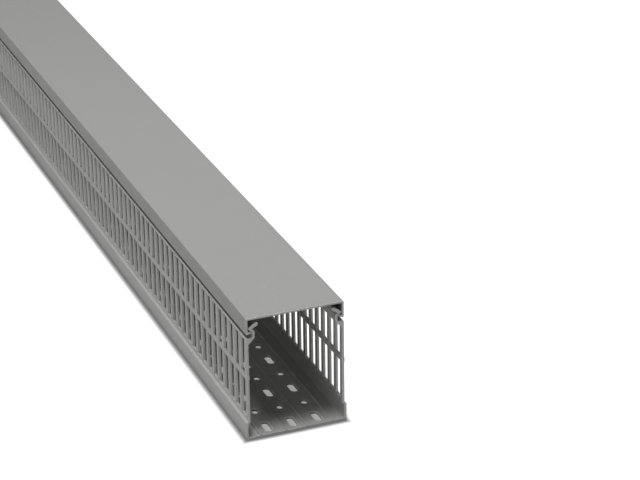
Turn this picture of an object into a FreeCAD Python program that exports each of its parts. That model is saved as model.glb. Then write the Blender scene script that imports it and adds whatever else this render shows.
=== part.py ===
import FreeCAD, Part
import math
import os

from FreeCAD import Vector

# Slotted wire duct with its clip-on cover: two rigid PVC extrusions, in millimetres.
# X runs across the duct, Y along it and Z up. The origin is the middle of the underside.

# Overall sizes
duct_length = 1000.0
duct_width = 80.0         # across the feet, the widest stretch of the section
duct_height = 100.0       # from the underside to the top of the closed cover

# Section of the trough
base_thickness = 2.2
wall_thickness = 1.8
foot_height = 16.0        # the lowest stretch of each wall, which stands out
foot_step = 1.6           # how far it stands out from the wall above
foot_radius = 1.6         # of the long bottom edges
step_radius = 0.8         # of both bends of the foot's step
floor_fillet = 1.2        # between the floor and the inside of the walls
bead_height = 51.6        # middle of the stiffening bead that crosses the slots
bead_depth = 4.0          # its size up the wall
bead_relief = 0.5         # how far it stands out on either face of the wall
rib_places = (8.6, 28.6)  # of the small ribs on the floor, to either side of the middle
rib_width = 2.4
rib_height = 1.1

# Section of the cover, and the groove of the trough that holds its hooks
cover_thickness = 1.6
skirt_height = 13.2       # from the top of the cover down to the edge of its skirt
skirt_gap = 2.8           # open joint under the skirt
hook_reach = 4.1          # of the hook, inward from the skirt's outer face
hook_rise = 0.7           # of its tip over its root
shoulder_radius = 0.9     # of the outer edge under the groove
groove_depth = 5.1        # inward from the wall's outer face
groove_fillet = 1.2       # of the groove's lower back corner
roof_fillet = 0.8         # of its upper one
roof_slope = 40.0         # degrees, of the groove's roof, outward and up over the hook
haunch_drop = 5.3         # of the sloping corner under the groove, on the inside
haunch_radius = 1.2
back_radius = 1.5         # inside, where the back of the groove turns into its roof
cover_clearance = 0.4     # between the cover and the trough, all round

# Spring lip that turns back inward over the groove
lip_slope = 34.0          # degrees, inward and up
lip_length = 8.6          # of its upper face
lip_root = 2.0            # thickness where it leaves the groove's roof
lip_tip = 2.8             # thickness at its round free edge
lip_tip_radius = 1.25
lip_bend_radius = 0.9
lip_notch_radius = 0.5    # between the lip and the roof

# Cable slots of the walls, two windows to a pitch
slot_pitch = 12.5
slot_width = 8.0
first_slot = 8.5          # from the front end to the middle of the first slot
slot_floor = 19.0         # lower end of the lower windows
slot_roof_drop = 1.9      # from the groove's floor down to the top of the upper windows
last_finger = 12.5        # least plain wall between the last slot and the back end

# Fixing holes of the base: long holes and short ones by turns along each row
hole_row_spacing = 20.0   # between the three rows across the base
hole_pitch = 25.0         # from a long hole to the next short one
first_hole = 11.5         # from the front end to the middle of the first long hole
long_hole_width = 5.5
long_hole_length = 14.5
short_hole_width = 4.4
short_hole_length = 6.8
mounting_holes = (2, 19)  # of each kind in a row: screw places, with true round ends
hole_end_sides = 4        # of the other holes' ends, flat and outside the arc, to stay light
cutter_reach = 1.0        # by which a cutter passes the faces that it goes through

# Places that follow from the sizes above
front_end = -duct_length / 2
foot_face = duct_width / 2
wall_face = foot_face - foot_step
wall_inside = wall_face - wall_thickness
groove_back = wall_face - groove_depth
skirt_edge = duct_height - skirt_height
shoulder = skirt_edge - skirt_gap
hook_middle = skirt_edge + cover_thickness / 2
hook_tip = (wall_face - hook_reach + cover_thickness / 2, hook_middle + hook_rise)
bead_bottom = bead_height - bead_depth / 2
bead_top = bead_height + bead_depth / 2


def place(x, z):
    """A point of the section."""
    return Vector(x, front_end, z)


def band(points, thickness):
    """A flat strip of even thickness with round ends, along a path in the section."""
    runs = [Part.LineSegment(place(*a), place(*b)).toShape() for a, b in zip(points, points[1:])]
    return Part.Wire(runs).makeOffset2D(thickness / 2, 0, True, False, False)


def section(corners):
    """A flat face from its (x, z, radius) corners in order, each rounded by its radius."""
    points = [place(x, z) for x, z, _ in corners]
    joints = []
    for index, here in enumerate(points):
        radius = corners[index][2]
        if radius == 0:
            joints.append([here])
            continue
        back = (points[index - 1] - here).normalize()
        ahead = (points[(index + 1) % len(points)] - here).normalize()
        half_angle = back.getAngle(ahead) / 2
        reach = radius / math.tan(half_angle)
        depth = radius / math.sin(half_angle) - radius
        middle = here + (back + ahead).normalize() * depth
        joints.append([here + back * reach, middle, here + ahead * reach])
    edges = []
    for index, joint in enumerate(joints):
        if len(joint) > 1:
            edges.append(Part.Arc(*joint).toShape())
        following = joints[(index + 1) % len(joints)]
        edges.append(Part.LineSegment(joint[-1], following[0]).toShape())
    return Part.Face(Part.Wire(edges))


def bead_corners(face, side):
    """The bevelled bead on one face of the right wall, from its lower edge to its upper one."""
    crest = face + side * bead_relief
    return [(face, bead_bottom, 0), (crest, bead_bottom + bead_relief, 0),
            (crest, bead_top - bead_relief, 0), (face, bead_top, 0)]


def rib_corners(x):
    """A low rib with sloping sides on the floor, from its outer side to its inner one."""
    top = base_thickness + rib_height
    half = rib_width / 2
    return [(x + half, base_thickness, 0), (x + half / 2, top, 0),
            (x - half / 2, top, 0), (x - half, base_thickness, 0)]


def roof_height(x):
    """Height of the groove's roof, which passes over the tip of the hook."""
    slope = math.radians(roof_slope)
    over_tip = (cover_thickness / 2 + cover_clearance) / math.cos(slope)
    return hook_tip[1] + over_tip + (x - hook_tip[0]) * math.tan(slope)


def lip_corners():
    """The spring lip, from its bend by the skirt round its free edge to its root."""
    roof = math.radians(roof_slope)
    lip = math.radians(lip_slope)
    # The rounded bend comes as near to the skirt as the clearance lets it.
    outermost = wall_face - cover_thickness - cover_clearance
    sharpness = math.cos((roof - lip) / 2) / math.sin((roof + lip) / 2) - 1
    bend_x = outermost + lip_bend_radius * sharpness
    bend_z = roof_height(bend_x)
    end_x = bend_x - lip_length * math.cos(lip)
    end_z = bend_z + lip_length * math.sin(lip)
    over_roof = wall_thickness / math.cos(roof)
    under_lip = lip_root / math.cos(lip)
    notch_x = bend_x - (over_roof + under_lip) / (math.tan(roof) + math.tan(lip))
    return [
        (bend_x, bend_z, lip_bend_radius),
        (end_x, end_z, lip_tip_radius),
        (end_x - lip_tip * math.sin(lip), end_z - lip_tip * math.cos(lip), lip_tip_radius),
        (notch_x, roof_height(notch_x) + over_roof, lip_notch_radius),
    ]


def wall_corners():
    """The right half of the trough's section, from the bottom edge up and back down inside."""
    inner_back = groove_back - wall_thickness
    back_top = roof_height(inner_back) + wall_thickness / math.cos(math.radians(roof_slope))
    haunch_bottom = shoulder - haunch_drop
    # The step of the foot runs at 45 degrees, and the wall keeps its thickness through it.
    inner_drop = wall_thickness * math.tan(math.radians(45 / 2))
    corners = [
        (foot_face, 0, foot_radius),
        (foot_face, foot_height - foot_step, step_radius),
        (wall_face, foot_height, step_radius),
    ]
    corners += bead_corners(wall_face, 1)
    corners += [
        (wall_face, shoulder, shoulder_radius),
        (groove_back, shoulder, groove_fillet),
        (groove_back, roof_height(groove_back), roof_fillet),
    ]
    corners += lip_corners()
    corners += [
        (inner_back, back_top, back_radius),
        (inner_back, haunch_bottom + wall_inside - inner_back, haunch_radius),
        (wall_inside, haunch_bottom, 0),
    ]
    corners += bead_corners(wall_inside, -1)[::-1]
    corners += [
        (wall_inside, foot_height - inner_drop, step_radius),
        (foot_face - wall_thickness, foot_height - foot_step - inner_drop, step_radius),
        (foot_face - wall_thickness, base_thickness, floor_fillet),
    ]
    for x in sorted(rib_places, reverse=True):
        corners += rib_corners(x)
    return corners


def slot_windows():
    """The two rows of windows, each box long enough to cut both walls."""
    stretch = duct_length - last_finger - first_slot - slot_width / 2
    count = int(stretch // slot_pitch) + 1
    spans = [(slot_floor, bead_bottom), (bead_top, shoulder - slot_roof_drop)]
    boxes = []
    for index in range(count):
        start = front_end + first_slot + index * slot_pitch - slot_width / 2
        for low, high in spans:
            corner = Vector(-duct_width, start, low)
            boxes.append(Part.makeBox(2 * duct_width, slot_width, high - low, corner))
    return boxes


def round_ended(x, y, width, length):
    """The outline of a long hole with true round ends."""
    radius = width / 2
    reach = (length - width) / 2
    near_left = Vector(x - radius, y - reach, -cutter_reach)
    near_right = Vector(x + radius, y - reach, -cutter_reach)
    far_right = Vector(x + radius, y + reach, -cutter_reach)
    far_left = Vector(x - radius, y + reach, -cutter_reach)
    near_end = Vector(x, y - length / 2, -cutter_reach)
    far_end = Vector(x, y + length / 2, -cutter_reach)
    return Part.Wire([
        Part.Arc(near_left, near_end, near_right).toShape(),
        Part.LineSegment(near_right, far_right).toShape(),
        Part.Arc(far_right, far_end, far_left).toShape(),
        Part.LineSegment(far_left, near_left).toShape(),
    ])


def flat_ended(x, y, width, length):
    """The same outline with each round end in a few flat sides that touch its arc."""
    half_side = math.pi / hole_end_sides / 2
    radius = width / 2 / math.cos(half_side)
    reach = (length - width) / 2
    outline = []
    for end, middle in ((0, y + reach), (1, y - reach)):
        for side in range(hole_end_sides):
            angle = math.pi * end + half_side * (2 * side + 1)
            outline.append(Vector(x + radius * math.cos(angle),
                                  middle + radius * math.sin(angle), -cutter_reach))
    return Part.makePolygon(outline + outline[:1])


def fixing_holes():
    """Three rows of holes, with a long and a short one by turns in each."""
    cutters = []
    count = int((duct_length - first_hole - long_hole_length / 2) // hole_pitch) + 1
    for row in (-1, 0, 1):
        for index in range(count):
            y = front_end + first_hole + index * hole_pitch
            if index % 2 == 0:
                size = (long_hole_width, long_hole_length)
            else:
                size = (short_hole_width, short_hole_length)
            outline = round_ended if index // 2 + 1 in mounting_holes else flat_ended
            face = Part.Face(outline(row * hole_row_spacing, y, *size))
            cutters.append(face.extrude(Vector(0, 0, base_thickness + 2 * cutter_reach)))
    return cutters


def duct_trough():
    """The trough: floor, slotted walls, groove and spring lip in one extrusion."""
    right = wall_corners()
    left = [(-x, z, radius) for x, z, radius in reversed(right)]
    solid = section(right + left).extrude(Vector(0, duct_length, 0))
    return solid.cut(slot_windows() + fixing_holes()).Solids[0]


def cover():
    """The cover: a flat top with a skirt on either side that ends in an inward hook."""
    half = cover_thickness / 2
    skirt_middle = wall_face - half
    top_middle = duct_height - half
    path = [(hook_tip[0], hook_tip[1]), (skirt_middle, hook_middle),
            (skirt_middle, top_middle), (-skirt_middle, top_middle),
            (-skirt_middle, hook_middle), (-hook_tip[0], hook_tip[1])]
    return band(path, cover_thickness).extrude(Vector(0, duct_length, 0))


os.makedirs("parts", exist_ok=True)
for name, make in (("duct_trough", duct_trough), ("cover", cover)):
    make().exportStep("parts/" + name + ".step")
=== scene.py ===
import math

import bpy
import numpy as np
from mathutils import Matrix, Vector


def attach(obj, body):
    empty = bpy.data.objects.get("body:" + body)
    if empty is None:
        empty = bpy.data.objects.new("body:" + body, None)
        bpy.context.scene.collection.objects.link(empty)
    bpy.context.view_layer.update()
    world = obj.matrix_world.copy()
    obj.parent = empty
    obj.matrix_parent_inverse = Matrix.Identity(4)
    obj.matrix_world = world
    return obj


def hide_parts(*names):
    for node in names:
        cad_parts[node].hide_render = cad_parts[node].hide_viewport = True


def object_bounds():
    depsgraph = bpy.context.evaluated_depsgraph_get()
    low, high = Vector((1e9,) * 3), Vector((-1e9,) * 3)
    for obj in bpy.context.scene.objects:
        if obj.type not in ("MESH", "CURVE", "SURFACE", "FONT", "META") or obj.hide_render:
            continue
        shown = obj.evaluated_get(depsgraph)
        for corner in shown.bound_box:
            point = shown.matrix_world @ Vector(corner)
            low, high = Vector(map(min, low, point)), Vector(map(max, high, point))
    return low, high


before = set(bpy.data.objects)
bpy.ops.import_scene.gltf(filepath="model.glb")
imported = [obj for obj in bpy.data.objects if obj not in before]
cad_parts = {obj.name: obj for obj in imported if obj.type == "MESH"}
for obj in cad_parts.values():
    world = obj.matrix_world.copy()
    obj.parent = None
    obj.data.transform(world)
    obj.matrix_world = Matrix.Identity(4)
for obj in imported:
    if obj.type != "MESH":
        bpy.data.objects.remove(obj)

CAD_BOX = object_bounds()

# Sizes of the duct in millimetres. The overall ones come from the box round the solids.
MM = 0.001
LENGTH = round((CAD_BOX[1][1] - CAD_BOX[0][1]) / MM, 3)
FOOT_FACE = round(CAD_BOX[1][0] / MM, 3)
LID_TOP = round(CAD_BOX[1][2] / MM, 3)

# The trough's section: the base, the foot that stands out from the wall, and the wall.
BASE = 2.2
WALL = 1.8
FOOT_TOP = 16.0
FOOT_STEP = 1.6
FOOT_EDGE_RADIUS = 1.6
STEP_RADIUS = 0.8
FLOOR_FILLET = 1.2
WALL_FACE = FOOT_FACE - FOOT_STEP
WALL_INSIDE = WALL_FACE - WALL

# The bead that crosses the slots, on both faces of the wall.
BEAD_MIDDLE = 51.6
BEAD_HALF = 2.0
BEAD_BOTTOM = BEAD_MIDDLE - BEAD_HALF
BEAD_TOP = BEAD_MIDDLE + BEAD_HALF
BEAD_RELIEF = 0.35
BEAD_BEVEL = 0.5
BEAD_RADIUS = 0.3

# The low ribs on the floor, by their places to either side of the middle.
RIBS = (8.6, 28.6)
RIB_HALF = 1.2
RIB_HEIGHT = 1.1
RIB_ROOT_RADIUS = 0.3
RIB_CREST_RADIUS = 0.35

# The cover, whose skin ends in a hook on either side. A hook's middle line runs from the
# bend at the skirt's edge inward and up to the tip.
SKIN = 1.6
CLEARANCE = 0.4
SKIRT_HEIGHT = 13.2
HOOK_REACH = 4.1
HOOK_RISE = 0.7
SKIRT_EDGE = LID_TOP - SKIRT_HEIGHT
HOOK_BEND = (WALL_FACE - SKIN / 2, SKIRT_EDGE + SKIN / 2)
HOOK_TIP = (WALL_FACE - HOOK_REACH + SKIN / 2, HOOK_BEND[1] + HOOK_RISE)
HOOK_END_RADIUS = 0.78
LID_EDGE_RADIUS = 0.8
COVER_INSIDE_RADIUS = 0.5

# The groove that holds the hook: its floor, which is the wall's shoulder under the skirt,
# its back, and the roof that slopes over the hook.
SKIRT_GAP = 2.8
SHOULDER = SKIRT_EDGE - SKIRT_GAP
SHOULDER_RADIUS = 0.9
GROOVE_DEPTH = 5.1
GROOVE_FILLET = 1.2
ROOF_FILLET = 0.8
ROOF_SLOPE = math.radians(40.0)
BACK_RADIUS = 1.5
HAUNCH_DROP = 5.3
HAUNCH_RADIUS = 1.2
GROOVE_BACK = WALL_FACE - GROOVE_DEPTH
INNER_BACK = GROOVE_BACK - WALL
HAUNCH_BOTTOM = SHOULDER - HAUNCH_DROP

# The spring lip over the groove.
LIP_SLOPE = math.radians(34.0)
LIP_LENGTH = 8.6
LIP_ROOT = 2.0
LIP_TIP = 2.8
LIP_BEND_RADIUS = 0.9
LIP_TIP_RADIUS = 1.25
LIP_NOTCH_RADIUS = 0.5

# Each pitch of a wall is a finger and then a slot, which the bead parts into two windows.
# The last pitch has no slot.
SLOT_PITCH = 12.5
FINGER = 4.5
PITCHES = int(LENGTH / SLOT_PITCH)
SLOTS = PITCHES - 1
SLOT_FLOOR = 19.0
SLOT_ROOF_DROP = 1.9
SLOT_ROOF = SHOULDER - SLOT_ROOF_DROP
WINDOWS = ((SLOT_FLOOR, BEAD_BOTTOM), (BEAD_TOP, SLOT_ROOF))

# The base's holes: a long one and a short one by turns, each in a cell of its own.
HOLE_ROWS = (-20.0, 0.0, 20.0)
HOLE_CELL = 25.0
FIRST_HOLE = 11.5
LONG_HOLE = (5.5, 14.5)
SHORT_HOLE = (4.4, 6.8)
HOLE_RIM = 0.8
QUARTER_POINTS = 6
# The strips between the ribs, which hold a row of holes each.
RIB_MARGIN = 1.8
INNER_EDGE = RIBS[0] - RIB_MARGIN
OUTER_STRIP = (RIBS[0] + RIB_MARGIN, RIBS[1] - RIB_MARGIN)
STRIP_EDGES = ((-OUTER_STRIP[1], -OUTER_STRIP[0]), (-INNER_EDGE, INNER_EDGE), OUTER_STRIP)

# Rounding of the cut edges, and the least bend of an edge that is rounded.
CUT_EDGE = 0.2
SHARP_BEND = math.radians(62)
# Two heights of the section count as one within this.
SAME_HEIGHT = 0.01

# Greys of the plastic as a darker and a lighter tone, and the paler grey of its cut faces.
# That grey is partly the whitened plastic of a cut and partly painted light: a painted highlight
# for the light from the front on the faces across the duct and on the holes' rims.
TROUGH_TONES = ((0.43, 0.43, 0.414, 1), (0.46, 0.46, 0.443, 1))
COVER_TONES = ((0.27, 0.27, 0.262, 1), (0.286, 0.286, 0.278, 1))
CUT_GREY_WITH_PAINTED_LIGHT = (0.66, 0.66, 0.645, 1)
SCUFF_GAIN = 1.15
# A slot's side is known by a normal that runs more than this along the duct, and a hole's
# rim by one that points up by more than this, at this depth under the floor.
SLOT_FACING = 0.8
RIM_FACING = 0.3
RIM_DEPTH = 0.05

# Patterns in the plastic: noises by their scale in waves a metre, and by how the place is
# squeezed before, where a small number makes the pattern long in that direction.
DIE_LINE_SCALE = 900.0
DIE_LINE_SQUEEZE = (1.0, 0.006, 1.0)
MOTTLE_SCALE = 38.0
GRAIN_SCALE = 2600.0
GRAIN_SHARE = 0.35
SAW_MARK_SCALE = 1800.0
SAW_MARK_TURN = (0, math.radians(12), 0)
SAW_MARK_SQUEEZE = (0.05, 0.0, 1.0)
SCUFF_SCALE = 700.0
SCUFF_TURNS = ((0.2, 0.1, 0.35), (0.2, 0.1, -0.8))
SCUFF_SQUEEZES = ((0.05, 1.0, 0.05), (1.0, 0.04, 0.3))
SCUFF_PATCH_SCALE = 14.0
# How rough the cut faces are, and how deep in metres and how strong the relief is.
CUT_ROUGHNESS = 0.75
RELIEF_DEPTH = 0.00006
RELIEF_STRENGTH = 0.35

# The floor, in metres. A narrow band along the duct's foot is a painted contact shadow, a
# darker grey without the white. Under the duct, where it shows through the holes, the floor has
# a part of its white, a painted shade; it has more white near the duct and all of it far off.
FLOOR_REACH = 12.0
FLOOR_GREY = (0.48, 0.48, 0.48, 1)
SHADOW_GREY = (0.25, 0.25, 0.255, 1)
CONTACT_SHIFT = 0.0008
CONTACT_WIDTH = 0.0046
UNDER_DUCT = 0.42
NEAR_WHITE = 0.75
FADE_START = 0.3
FADE_END = 2.0

# The room's even light, and the lamps by name, place and side in metres, and power in watts,
# all aimed at the duct's front.
ROOM_LIGHT = 0.03
LAMP_AIM = (0.0, -0.4, 0.05)
LAMPS = (
    ("top lamp", (-0.2, -0.5, 1.8), 0.75, 34.5),
    ("front lamp", (-1.15, -1.3, 0.65), 0.5, 2.2),
    ("back lamp", (0.8, 0.7, 2.3), 1.0, 1.0),
)

# The camera's place in metres, its turns in degrees, and its focal length in pixels.
CAMERA_PLACE = (-0.499, -1.806, 0.790)
CAMERA_TURN = -21.68
CAMERA_DOWN = 24.41
CAMERA_ROLL = -0.70
FOCAL_PIXELS = 2146.0
PICTURE_WIDTH = 640
SENSOR_WIDTH = 36.0


def sampled_outline(corners, arc_points=6):
    """Points of a closed outline, where every corner (x, z, radius) becomes an arc that
    touches both of its sides. The arc's centre lies on the corner's bisector at
    radius / sin(half the corner's angle), and the points are evenly spaced in angle."""
    table = np.array(corners, dtype=float)
    corner, radius = table[:, :2], table[:, 2:]
    back = np.roll(corner, 1, axis=0) - corner
    ahead = np.roll(corner, -1, axis=0) - corner
    back /= np.linalg.norm(back, axis=1, keepdims=True)
    ahead /= np.linalg.norm(ahead, axis=1, keepdims=True)
    half = np.arccos(np.clip((back * ahead).sum(1, keepdims=True), -1, 1)) / 2
    bisector = back + ahead
    size = np.linalg.norm(bisector, axis=1, keepdims=True)
    # On a straight stretch the bisector vanishes, and the corner has no radius.
    least = 1e-6
    bisector = np.where(size > least, bisector / np.maximum(size, least), 0)
    centre = corner + bisector * radius / np.sin(half)
    start = corner + back * radius / np.tan(half)
    arm = start - centre
    side = np.sign(back[:, :1] * ahead[:, 1:] - back[:, 1:] * ahead[:, :1])
    turn = side * (2 * half - np.pi) * np.linspace(0, 1, arc_points)[None, :]
    x = centre[:, :1] + arm[:, :1] * np.cos(turn) - arm[:, 1:] * np.sin(turn)
    z = centre[:, 1:] + arm[:, :1] * np.sin(turn) + arm[:, 1:] * np.cos(turn)
    points = np.stack([x, z], axis=2).reshape(-1, 2)
    apart = np.linalg.norm(points - np.roll(points, 1, axis=0), axis=1) > least
    return points[apart]


def mirrored(right_half):
    """The mirror image of the right half's corners, with -x for x, in the other order."""
    return [(-x, z, radius) for x, z, radius in reversed(right_half)]


def roof_height(x):
    """Height of the groove's roof at x: a line at the roof's slope that passes over the
    round hook tip with half its thickness and the clearance between them."""
    over = (SKIN / 2 + CLEARANCE) / math.cos(ROOF_SLOPE)
    return HOOK_TIP[1] + over + (x - HOOK_TIP[0]) * math.tan(ROOF_SLOPE)


def lip_corners():
    """The spring lip: its rounded bend by the skirt, its upper face at the lip's slope,
    its round free edge, and the notch where its under face meets the roof's upper face."""
    # The bend's arc, not its corner, keeps the clearance to the skirt.
    sharp = math.cos((ROOF_SLOPE - LIP_SLOPE) / 2) / math.sin((ROOF_SLOPE + LIP_SLOPE) / 2) - 1
    bend_x = WALL_FACE - SKIN - CLEARANCE + LIP_BEND_RADIUS * sharp
    bend_z = roof_height(bend_x)
    end_x = bend_x - LIP_LENGTH * math.cos(LIP_SLOPE)
    end_z = bend_z + LIP_LENGTH * math.sin(LIP_SLOPE)
    over_roof = WALL / math.cos(ROOF_SLOPE)
    under_lip = LIP_ROOT / math.cos(LIP_SLOPE)
    notch_x = bend_x - (over_roof + under_lip) / (math.tan(ROOF_SLOPE) + math.tan(LIP_SLOPE))
    return [
        (bend_x, bend_z, LIP_BEND_RADIUS),
        (end_x, end_z, LIP_TIP_RADIUS),
        (end_x - LIP_TIP * math.sin(LIP_SLOPE), end_z - LIP_TIP * math.cos(LIP_SLOPE),
         LIP_TIP_RADIUS),
        (notch_x, roof_height(notch_x) + over_roof, LIP_NOTCH_RADIUS),
    ]


def bead_corners(face, side):
    """The bevelled bead on one face of the wall, from its lower edge to its upper one: the
    face, the crest that stands out by the relief, and the face again."""
    crest = face + side * BEAD_RELIEF
    return [
        (face, BEAD_BOTTOM, 0),
        (crest, BEAD_BOTTOM + BEAD_BEVEL, BEAD_RADIUS),
        (crest, BEAD_TOP - BEAD_BEVEL, BEAD_RADIUS),
        (face, BEAD_TOP, 0),
    ]


def rib_corners(x):
    """A rib on the floor about x, from its outer side inward. Its crest is half as wide as
    its root."""
    top = BASE + RIB_HEIGHT
    return [
        (x + RIB_HALF, BASE, RIB_ROOT_RADIUS),
        (x + RIB_HALF / 2, top, RIB_CREST_RADIUS),
        (x - RIB_HALF / 2, top, RIB_CREST_RADIUS),
        (x - RIB_HALF, BASE, RIB_ROOT_RADIUS),
    ]


def trough_outline():
    """The trough's section, counterclockwise as the open front end shows it: the corners of
    its right half, with plain points where slots and hole strips begin and end, and their
    mirror image."""
    back_top = roof_height(INNER_BACK) + WALL / math.cos(ROOF_SLOPE)
    haunch_top = HAUNCH_BOTTOM + WALL_INSIDE - INNER_BACK
    # The foot's step runs at 45 degrees, and the wall keeps its thickness through it.
    inner_drop = WALL * math.tan(math.radians(45 / 2))
    right = [(x, 0, 0) for x in (INNER_EDGE, OUTER_STRIP[0], HOLE_ROWS[2], OUTER_STRIP[1])]
    right += [
        (FOOT_FACE, 0, FOOT_EDGE_RADIUS),
        (FOOT_FACE, FOOT_TOP - FOOT_STEP, STEP_RADIUS),
        (WALL_FACE, FOOT_TOP, STEP_RADIUS),
        (WALL_FACE, SLOT_FLOOR, 0),
    ]
    right += bead_corners(WALL_FACE, 1)
    right += [
        (WALL_FACE, SLOT_ROOF, 0),
        (WALL_FACE, SHOULDER, SHOULDER_RADIUS),
        (GROOVE_BACK, SHOULDER, GROOVE_FILLET),
        (GROOVE_BACK, roof_height(GROOVE_BACK), ROOF_FILLET),
    ]
    right += lip_corners()
    right += [
        (INNER_BACK, back_top, BACK_RADIUS),
        (INNER_BACK, haunch_top, HAUNCH_RADIUS),
        (WALL_INSIDE + HAUNCH_BOTTOM - SLOT_ROOF, SLOT_ROOF, 0),
        (WALL_INSIDE, HAUNCH_BOTTOM, 0),
    ]
    right += bead_corners(WALL_INSIDE, -1)[::-1]
    right += [
        (WALL_INSIDE, SLOT_FLOOR, 0),
        (WALL_INSIDE, FOOT_TOP - inner_drop, STEP_RADIUS),
        (FOOT_FACE - WALL, FOOT_TOP - FOOT_STEP - inner_drop, STEP_RADIUS),
        (FOOT_FACE - WALL, BASE, FLOOR_FILLET),
    ]
    right += rib_corners(RIBS[1])
    right += [(x, BASE, 0) for x in (OUTER_STRIP[1], HOLE_ROWS[2], OUTER_STRIP[0])]
    right += rib_corners(RIBS[0])
    right += [(INNER_EDGE, BASE, 0)]
    return sampled_outline([(0, 0, 0)] + right + [(0, BASE, 0)] + mirrored(right))


def carried(outline, along):
    """Points (x, y, z) from an outline's (x, z) at every place y along the duct, as an
    array over the outline's points and the places."""
    points = np.empty((len(outline), len(along), 3))
    points[:, :, 0] = outline[:, None, 0]
    points[:, :, 1] = along[None, :]
    points[:, :, 2] = outline[:, None, 1]
    return points


def strip(first, second, start, stop, stations):
    """Quads between two points of the outline from one station to the next, facing the
    right-hand side of the way from the first point to the second. A vertex has the number
    outline point * stations + station."""
    first, second, start, stop = np.broadcast_arrays(first, second, start, stop)
    return np.stack([first * stations + start, first * stations + stop,
                     second * stations + stop, second * stations + start], axis=-1).reshape(-1, 4)


def new_piece(name, points_mm, faces):
    """A mesh object from points in millimetres and faces, without the unused points."""
    used = np.zeros(len(points_mm), dtype=bool)
    used[np.concatenate([np.asarray(face) for face in faces])] = True
    number = np.cumsum(used) - 1
    mesh = bpy.data.meshes.new(name)
    mesh.from_pydata((points_mm[used] * MM).tolist(), [],
                     [number[np.asarray(face)].tolist() for face in faces])
    mesh.validate()
    mesh.update()
    mesh.shade_smooth()
    piece = bpy.data.objects.new(name, mesh)
    bpy.context.scene.collection.objects.link(piece)
    return piece


def slot_sides(stretches, after, slots, stations):
    """The four sides of all slots in one row of windows of one wall. The stretches are the
    row's parts of the outline, first those of one face and then those of the other. A strip
    from face to face is the sill or the roof, and a closed ring round both faces' points is
    the side of a finger."""
    gap = np.nonzero(np.diff(stretches) > 1)[0][0] + 1
    one_face = np.append(stretches[:gap], after[stretches[gap - 1]])
    other_face = np.append(stretches[gap:], after[stretches[-1]])
    quads = [strip(one_face[0], other_face[-1], slots, slots + 1, stations),
             strip(other_face[0], one_face[-1], slots, slots + 1, stations)]
    loop = np.concatenate([one_face, other_face])
    rings = list(loop[None, ::-1] * stations + slots[:, None])
    rings += list(loop[None, :] * stations + slots[:, None] + 1)
    return quads, rings


def hole_half(width, length):
    """Half of a round-ended hole about its middle, from the near end along the right side to
    the far end: two quarter circles whose centres are (length - width) apart."""
    angle = np.linspace(-np.pi / 2, 0, QUARTER_POINTS)
    near = np.stack([width / 2 * np.cos(angle), width / 2 * np.sin(angle) - (length - width) / 2], 1)
    far = near[::-1] * (1, -1)
    return np.concatenate([near, far])


def hole_points():
    """Points of all holes, as an array over row, cell, level and place round the hole. A
    hole is one loop at the underside, the same loop just under the floor and a wider one at
    the floor, so that its rim has settled into a small slope."""
    cell = np.arange(int(LENGTH / HOLE_CELL))
    hole_y = cell * HOLE_CELL + FIRST_HOLE - LENGTH / 2
    widening = (0.0, 0.0, 2 * HOLE_RIM)
    halves = np.array([[hole_half(width + more, length + more) for more in widening]
                       for width, length in (LONG_HOLE, SHORT_HOLE)])
    loops = np.concatenate([halves, halves[:, :, -2:0:-1] * (-1, 1)], axis=2)[cell % 2]
    x = loops[None, ..., 0] + np.array(HOLE_ROWS)[:, None, None, None]
    y = loops[None, ..., 1] + hole_y[None, :, None, None]
    z = np.array([0.0, BASE - HOLE_RIM, BASE])[None, None, :, None]
    return np.stack(np.broadcast_arrays(x, y, z), axis=-1)


def base_rings(outline, stations, hole_number):
    """Faces round the holes in the base's underside and floor. Each cell of a strip is two
    rings, which meet on the row's middle line before and behind the hole: one runs along
    the strip's right edge and back round the hole's right side, and one does so on the
    left."""
    cells = hole_number.shape[1]
    steps_a_cell = 2 * round(HOLE_CELL / SLOT_PITCH)
    border = np.arange(steps_a_cell + 1)[None, :] + steps_a_cell * np.arange(cells)[:, None]
    half = 2 * QUARTER_POINTS

    def edge(x, z):
        """Numbers of the vertices of each cell at the outline's point nearest to (x, z)."""
        point = int(np.argmin(np.hypot(outline[:, 0] - x, outline[:, 1] - z)))
        return point * stations + border

    rings = []
    for row, (low, high) in enumerate(STRIP_EDGES):
        for level, z, order in ((0, 0.0, -1), (2, BASE, 1)):
            middle, right, left = edge(HOLE_ROWS[row], z), edge(high, z), edge(low, z)
            near, far = middle[:, :1], middle[:, -1:]
            loop = hole_number[row, :, level]
            right_ring = np.concatenate([near, right, far, loop[:, half - 1::-1]], axis=1)
            left_loop = np.concatenate([loop[:, :1], loop[:, :half - 2:-1]], axis=1)
            left_ring = np.concatenate([far, left[:, ::-1], near, left_loop], axis=1)
            rings += list(right_ring[:, ::order]) + list(left_ring[:, ::order])
    return rings


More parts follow.
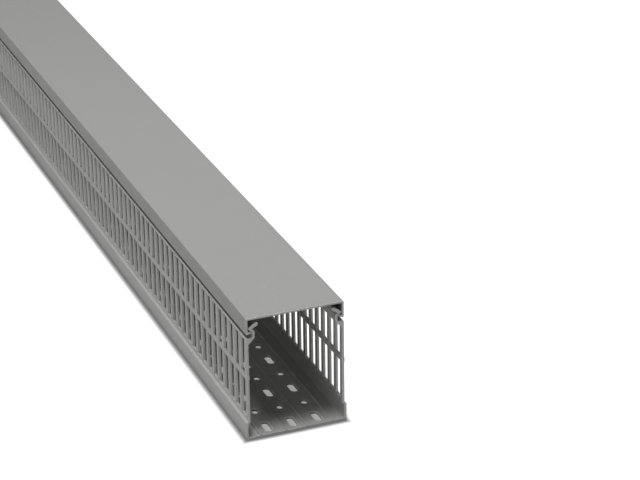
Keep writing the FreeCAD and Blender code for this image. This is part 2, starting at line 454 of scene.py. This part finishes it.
def trough_piece():
    """The trough: its outline carried along the duct over stations at every slot's edges.
    Where a slot is cut, the wall's quads are left out and the slot's four sides are put in.
    Where a hole is cut, two half rings run from the hole strip's edges to the hole."""
    outline = trough_outline()
    count = len(outline)
    pitches = np.arange(PITCHES) * SLOT_PITCH
    along = np.append(np.stack([pitches, pitches + FINGER], 1).ravel(), LENGTH) - LENGTH / 2
    stations = len(along)
    body = carried(outline, along).reshape(-1, 3)

    after = (np.arange(count) + 1) % count
    x, z = ((outline + outline[after]) / 2).T
    interval = np.arange(stations - 1)
    slotted = (interval % 2 == 1) & (interval < 2 * SLOTS)
    in_window = [(z > low) & (z < high) for low, high in WINDOWS]
    on_base = (np.abs(z) < SAME_HEIGHT) | (np.abs(z - BASE) < SAME_HEIGHT)
    in_strip = [on_base & (x > low) & (x < high) for low, high in STRIP_EDGES]
    plain = ~(np.any(in_window, axis=0)[:, None] & slotted[None, :])
    plain &= ~np.any(in_strip, axis=0)[:, None]
    point, step = np.nonzero(plain)
    quads = [strip(point, after[point], step, step + 1, stations)]

    rings = []
    for window in in_window:
        for side in (-1, 1):
            stretches = np.nonzero(window & (np.sign(x) == side))[0]
            more_quads, more_rings = slot_sides(stretches, after, interval[slotted], stations)
            quads += more_quads
            rings += more_rings

    holes = hole_points()
    hole_number = len(body) + np.arange(holes[..., 0].size).reshape(holes.shape[:-1])
    following = np.roll(hole_number, -1, axis=3)
    hole_walls = np.stack([hole_number[:, :, 1:], following[:, :, 1:],
                           following[:, :, :-1], hole_number[:, :, :-1]], axis=-1)
    quads.append(hole_walls.reshape(-1, 4))
    rings += base_rings(outline, stations, hole_number)

    front = np.arange(count) * stations
    back = (front + stations - 1)[::-1]
    points = np.concatenate([body, holes.reshape(-1, 3)])
    return new_piece("slotted_trough", points, list(np.concatenate(quads)) + rings + [front, back])


def cover_piece():
    """The cover: one thin outline carried from end to end. Its hooks are the skin's own
    thickness, turned in along the line from the skirt's edge to the tip, so their faces are
    that line moved up and down by half the skin."""
    hook_tip = np.array(HOOK_TIP)
    run = hook_tip - np.array(HOOK_BEND)
    run /= np.linalg.norm(run)
    slope = run[1] / run[0]
    up = np.array([run[1], -run[0]])
    half = SKIN / 2
    end = hook_tip + run * half
    upper = hook_tip + up * half
    lower = hook_tip - up * half
    inside = WALL_FACE - SKIN
    right = [
        (inside, LID_TOP - SKIN, COVER_INSIDE_RADIUS),
        (inside, upper[1] + (inside - upper[0]) * slope, COVER_INSIDE_RADIUS),
        (*(end + up * half), HOOK_END_RADIUS),
        (*(end - up * half), HOOK_END_RADIUS),
        (WALL_FACE, lower[1] + (WALL_FACE - lower[0]) * slope, half),
        (WALL_FACE, LID_TOP, LID_EDGE_RADIUS),
    ]
    outline = sampled_outline(right + mirrored(right), arc_points=7)
    number = np.arange(len(outline))
    points = carried(outline, np.array([-LENGTH / 2, LENGTH / 2]))
    quads = strip(number, (number + 1) % len(outline), 0, 1, 2)
    ends = [number * 2, (number * 2 + 1)[::-1]]
    return new_piece("clip_on_cover", points.reshape(-1, 3), list(quads) + ends)


def soften(piece):
    """Small rounded edges where the plastic was cut, and flat faces that stay flat."""
    bevel = piece.modifiers.new("cut edges", "BEVEL")
    bevel.width = CUT_EDGE * MM
    bevel.segments = 2
    bevel.limit_method = "ANGLE"
    bevel.angle_limit = SHARP_BEND
    bevel.use_clamp_overlap = True
    flat = piece.modifiers.new("flat faces", "WEIGHTED_NORMAL")
    flat.weight = 60
    flat.keep_sharp = False


def node(tree, kind, feeds=None, **settings):
    """A node with its settings. Each feed is an output, which is linked to the input of that
    name or number, or a plain value, which is set on it."""
    made = tree.nodes.new(kind)
    for key, value in settings.items():
        setattr(made, key, value)
    for key, value in (feeds or {}).items():
        if isinstance(value, bpy.types.NodeSocket):
            tree.links.new(value, made.inputs[key])
        else:
            made.inputs[key].default_value = value
    return made


def calculated(tree, operation, *feeds):
    """The output of a Math node over outputs and plain numbers."""
    return node(tree, "ShaderNodeMath", dict(enumerate(feeds)), operation=operation).outputs[0]


def ranged(tree, value, low, high, to_low=0.0, to_high=1.0):
    """A value brought from one range to another in a straight line, and kept within it."""
    return node(tree, "ShaderNodeMapRange", {
        "Value": value, "From Min": low, "From Max": high,
        "To Min": to_low, "To Max": to_high}).outputs[0]


def noise(tree, place, scale, detail, roughness=0.5):
    """Cloudy noise between 0 and 1 over a place."""
    return node(tree, "ShaderNodeTexNoise", {
        "Vector": place, "Scale": scale, "Detail": detail, "Roughness": roughness}).outputs["Fac"]


def mixed(tree, share, first, second, data_type="RGBA"):
    """The first colour or number where the share is 0 and the second where it is 1."""
    return node(tree, "ShaderNodeMix", {"Factor": share, "A": first, "B": second},
                data_type=data_type).outputs["Result"]


def group(name, inputs, outputs):
    """A new shader node group with named sockets, the outputs of its input node, and the
    inputs of its output node."""
    tree = bpy.data.node_groups.new(name, "ShaderNodeTree")
    for label, kind, value in inputs:
        socket = tree.interface.new_socket(label, in_out="INPUT", socket_type=kind)
        if value is not None:
            socket.default_value = value
    for label in outputs:
        tree.interface.new_socket(label, in_out="OUTPUT", socket_type="NodeSocketFloat")
    into = tree.nodes.new("NodeGroupInput").outputs
    out = tree.nodes.new("NodeGroupOutput").inputs
    return tree, into, out


def die_line_group():
    """Marks of the die: lines along the duct, slow mottling, and a height of lines and grain.
    The coordinates are squeezed along the duct, so that a fine noise becomes long lines."""
    tree, into, out = group("die lines", [
        ("Position", "NodeSocketVector", None),
        ("Fineness", "NodeSocketFloat", DIE_LINE_SCALE)], ["Lines", "Mottle", "Height"])
    squeezed = node(tree, "ShaderNodeVectorMath", {0: into["Position"], 1: DIE_LINE_SQUEEZE},
                    operation="MULTIPLY").outputs[0]
    lines = noise(tree, squeezed, into["Fineness"], detail=3.0, roughness=0.6)
    mottle = noise(tree, into["Position"], MOTTLE_SCALE, detail=4.0, roughness=0.55)
    grain = noise(tree, into["Position"], GRAIN_SCALE, detail=2.0)
    link = tree.links.new
    link(lines, out["Lines"])
    link(mottle, out["Mottle"])
    link(calculated(tree, "MULTIPLY_ADD", grain, GRAIN_SHARE, lines), out["Height"])
    return tree


def cut_face_group():
    """The cut faces: a mask that is 1 within a fifth of a millimetre of either end of the
    duct, on the sides of the wall slots, which face along the duct, and on the slopes round
    the base's holes, which face upward below the floor. The marks are noise, stretched
    across the section and turned a little."""
    tree, into, out = group("cut faces", [
        ("Position", "NodeSocketVector", None),
        ("Facing", "NodeSocketVector", None)], ["Mask", "Marks"])
    place = node(tree, "ShaderNodeSeparateXYZ", {0: into["Position"]}).outputs
    facing = node(tree, "ShaderNodeSeparateXYZ", {0: into["Facing"]}).outputs
    from_middle = calculated(tree, "ABSOLUTE", place["Y"])
    at_end = calculated(tree, "GREATER_THAN", from_middle, (LENGTH / 2 - CUT_EDGE) * MM)
    along_duct = calculated(tree, "ABSOLUTE", facing["Y"])
    faces_along = calculated(tree, "GREATER_THAN", along_duct, SLOT_FACING)
    in_wall = calculated(tree, "GREATER_THAN", place["Z"], SLOT_FLOOR * MM)
    slot_side = calculated(tree, "MULTIPLY", faces_along, in_wall)
    faces_up = calculated(tree, "GREATER_THAN", facing["Z"], RIM_FACING)
    under_floor = calculated(tree, "LESS_THAN", place["Z"], (BASE - RIM_DEPTH) * MM)
    hole_rim = calculated(tree, "MULTIPLY", faces_up, under_floor)
    punched = calculated(tree, "MAXIMUM", slot_side, hole_rim)
    squeezed = node(tree, "ShaderNodeMapping", {
        "Vector": into["Position"], "Rotation": SAW_MARK_TURN,
        "Scale": SAW_MARK_SQUEEZE}).outputs[0]
    link = tree.links.new
    link(calculated(tree, "MAXIMUM", at_end, punched), out["Mask"])
    link(noise(tree, squeezed, SAW_MARK_SCALE, detail=2.0), out["Marks"])
    return tree


def handling_group():
    """Light scuffs from handling: the peaks of two noises, each turned and squeezed into
    thin short lines, kept to the patches of a third."""
    tree, into, out = group("handling scuffs", [
        ("Position", "NodeSocketVector", None),
        ("Amount", "NodeSocketFloat", 1.0)], ["Scuffs"])
    lines = []
    for turn, squeeze in zip(SCUFF_TURNS, SCUFF_SQUEEZES):
        turned = node(tree, "ShaderNodeMapping", {
            "Vector": into["Position"], "Rotation": turn, "Scale": squeeze}).outputs[0]
        peaks = noise(tree, turned, SCUFF_SCALE, detail=1.0)
        lines.append(ranged(tree, peaks, low=0.66, high=0.74))
    clouds = noise(tree, into["Position"], SCUFF_PATCH_SCALE, detail=2.0)
    patches = ranged(tree, clouds, low=0.5, high=0.7)
    kept = calculated(tree, "MULTIPLY", calculated(tree, "MAXIMUM", *lines), patches)
    tree.links.new(calculated(tree, "MULTIPLY", kept, into["Amount"]), out["Scuffs"])
    return tree


def grey_pvc(name, groups, tones, roughness, scuffs):
    """Stone-grey rigid PVC: die lines and mottling between two near greys, paler and rougher
    cut faces, whose paler grey is partly a painted highlight, and a few scuffs."""
    material = bpy.data.materials.new(name)
    material.use_nodes = True
    tree = material.node_tree
    shader = tree.nodes["Principled BSDF"].inputs
    shader["IOR"].default_value = 1.5
    shader["Specular IOR Level"].default_value = 0.15
    place = node(tree, "ShaderNodeTexCoord").outputs
    die = node(tree, "ShaderNodeGroup", node_tree=groups["die"])
    cut = node(tree, "ShaderNodeGroup", node_tree=groups["cut"])
    worn = node(tree, "ShaderNodeGroup", node_tree=groups["worn"])
    link = tree.links.new
    for made in (die, cut, worn):
        link(place["Object"], made.inputs["Position"])
    link(place["Normal"], cut.inputs["Facing"])
    worn.inputs["Amount"].default_value = scuffs
    # Colour: the two greys by lines and mottle, then the paler grey of cut faces, partly a painted
    # highlight, and scuffs.
    dark, light = tones
    scuff_grey = tuple(SCUFF_GAIN * value for value in light[:3]) + (1.0,)
    half_mottle = calculated(tree, "MULTIPLY", die.outputs["Mottle"], 0.5)
    blend = calculated(tree, "MULTIPLY_ADD", die.outputs["Lines"], 0.5, half_mottle)
    grey = mixed(tree, ranged(tree, blend, low=0.35, high=0.65), dark, light)
    with_cuts_and_painted_light = mixed(tree, cut.outputs["Mask"], grey, CUT_GREY_WITH_PAINTED_LIGHT)
    with_scuffs = mixed(tree, worn.outputs["Scuffs"], with_cuts_and_painted_light, scuff_grey)
    link(with_scuffs, shader["Base Color"])
    # Roughness: smoother along the die lines, rough where it was cut.
    smooth = ranged(tree, blend, low=0.3, high=0.7,
                    to_low=roughness - 0.05, to_high=roughness + 0.07)
    link(mixed(tree, cut.outputs["Mask"], smooth, CUT_ROUGHNESS, "FLOAT"), shader["Roughness"])
    # Relief: die lines on the long faces and saw marks on the cut ones.
    relief = mixed(tree, cut.outputs["Mask"], die.outputs["Height"], cut.outputs["Marks"], "FLOAT")
    bump = node(tree, "ShaderNodeBump", {
        "Strength": RELIEF_STRENGTH, "Distance": RELIEF_DEPTH, "Height": relief})
    link(bump.outputs[0], shader["Normal"])
    return material


def seen_white(tree):
    """1 for a camera, glossy or transmission ray and 0 for any other: the largest of the
    three."""
    path = node(tree, "ShaderNodeLightPath").outputs
    seen = calculated(tree, "MAXIMUM", path["Is Camera Ray"], path["Is Glossy Ray"])
    return calculated(tree, "MAXIMUM", seen, path["Is Transmission Ray"])


def white_floor():
    """A pale floor that the camera sees as white: emission for camera, glossy and
    transmission rays is added to a matt floor, except along the edge of the duct's foot, where a
    darker grey and no emission make a painted contact shadow, and under the duct, where less
    emission is a painted shade."""
    material = bpy.data.materials.new("white floor")
    material.use_nodes = True
    tree = material.node_tree
    shader = tree.nodes["Principled BSDF"].inputs
    shader["Roughness"].default_value = 0.9
    shader["Specular IOR Level"].default_value = 0.1
    # Distance from the edge of the foot's print, from the floor's own coordinates. The print
    # is set a little to the left and to the front, where the thin painted contact shadow is widest.
    place = node(tree, "ShaderNodeTexCoord").outputs["Object"]
    shifted = node(tree, "ShaderNodeVectorMath", {
        0: place, 1: (CONTACT_SHIFT, CONTACT_SHIFT, 0.0)}, operation="ADD").outputs[0]
    size = node(tree, "ShaderNodeVectorMath", {0: shifted}, operation="ABSOLUTE").outputs[0]
    beyond = node(tree, "ShaderNodeVectorMath", {
        0: size, 1: (FOOT_FACE * MM, LENGTH / 2 * MM, 1.0)}, operation="SUBTRACT").outputs[0]
    sides = node(tree, "ShaderNodeSeparateXYZ", {0: beyond}).outputs
    distance = calculated(tree, "MAXIMUM", sides["X"], sides["Y"])
    # Painted contact shadow: no white at the foot's edge and all of it a contact width out. Under
    # the duct a painted shade keeps only a part of the white.
    clear = ranged(tree, distance, low=0.0, high=CONTACT_WIDTH)
    under = ranged(tree, distance, low=0.0, high=-CONTACT_WIDTH, to_high=UNDER_DUCT)
    lit = calculated(tree, "ADD", clear, under)
    # Far from the duct, where the lamps fade, the floor shows more of its own white.
    distant = ranged(tree, distance, low=FADE_START, high=FADE_END, to_low=NEAR_WHITE)
    level = calculated(tree, "MULTIPLY", seen_white(tree), distant)
    shader["Emission Color"].default_value = (1, 1, 1, 1)
    tree.links.new(calculated(tree, "MULTIPLY", level, lit), shader["Emission Strength"])
    # The painted contact shadow also darkens the floor's grey to the shadow grey at the foot.
    tree.links.new(mixed(tree, clear, SHADOW_GREY, FLOOR_GREY), shader["Base Color"])
    return material


def soft_room():
    """The room: a weak even light on the duct, and white where the camera, a reflection or a
    transmitted ray sees it."""
    world = bpy.data.worlds.new("soft room light")
    world.use_nodes = True
    tree = world.node_tree
    background = tree.nodes["Background"].inputs
    background["Color"].default_value = (1, 1, 1, 1)
    strength = ranged(tree, seen_white(tree), low=0.0, high=1.0, to_low=ROOM_LIGHT)
    tree.links.new(strength, background["Strength"])
    return world


def lamp(name, at, side, watts):
    """A square soft lamp that faces the aim: its +Z points back along its light."""
    data = bpy.data.lights.new(name, "AREA")
    data.shape = "SQUARE"
    data.size = side
    data.energy = watts
    made = bpy.data.objects.new(name, data)
    turn = (Vector(at) - Vector(LAMP_AIM)).to_track_quat("Z", "Y")
    made.matrix_world = Matrix.Translation(at) @ turn.to_matrix().to_4x4()
    bpy.context.scene.collection.objects.link(made)


def photo_camera():
    """The camera at the photograph's place and angle: from looking straight down it is
    rolled about its own axis, tipped up, turned about the upright one and moved."""
    view = bpy.data.cameras.new("camera")
    view.sensor_fit = "HORIZONTAL"
    view.sensor_width = SENSOR_WIDTH
    view.lens = FOCAL_PIXELS / PICTURE_WIDTH * SENSOR_WIDTH
    view.clip_start = 0.05
    camera = bpy.data.objects.new("camera", view)
    camera.matrix_world = (
        Matrix.Translation(CAMERA_PLACE)
        @ Matrix.Rotation(math.radians(CAMERA_TURN), 4, "Z")
        @ Matrix.Rotation(math.radians(90 - CAMERA_DOWN), 4, "X")
        @ Matrix.Rotation(math.radians(CAMERA_ROLL), 4, "Z"))
    bpy.context.scene.collection.objects.link(camera)
    return camera


bpy.context.scene.camera = photo_camera()
bpy.context.scene.view_settings.view_transform = "Standard"

groups = {"die": die_line_group(), "cut": cut_face_group(), "worn": handling_group()}
trough_grey = grey_pvc("stone grey PVC of the trough", groups, TROUGH_TONES,
                       roughness=0.46, scuffs=0.3)
cover_grey = grey_pvc("stone grey PVC of the cover", groups, COVER_TONES,
                      roughness=0.42, scuffs=0.6)

trough = trough_piece()
soften(trough)
trough.data.materials.append(trough_grey)
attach(trough, "trough")
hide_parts("duct_trough")

cover = cover_piece()
soften(cover)
cover.data.materials.append(cover_grey)
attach(cover, "cover")
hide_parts("cover")

for cad_node, material in (("duct_trough", trough_grey), ("cover", cover_grey)):
    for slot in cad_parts[cad_node].material_slots:
        slot.material = material

# Floor and light.
floor_corners = [(-FLOOR_REACH, -FLOOR_REACH, 0), (FLOOR_REACH, -FLOOR_REACH, 0),
                 (FLOOR_REACH, FLOOR_REACH, 0), (-FLOOR_REACH, FLOOR_REACH, 0)]
floor_mesh = bpy.data.meshes.new("floor")
floor_mesh.from_pydata(floor_corners, [], [(0, 1, 2, 3)])
floor_mesh.materials.append(white_floor())
floor = bpy.data.objects.new("floor", floor_mesh)
bpy.context.scene.collection.objects.link(floor)

bpy.context.scene.world = soft_room()
for name, at, side, watts in LAMPS:
    lamp(name, at, side, watts)
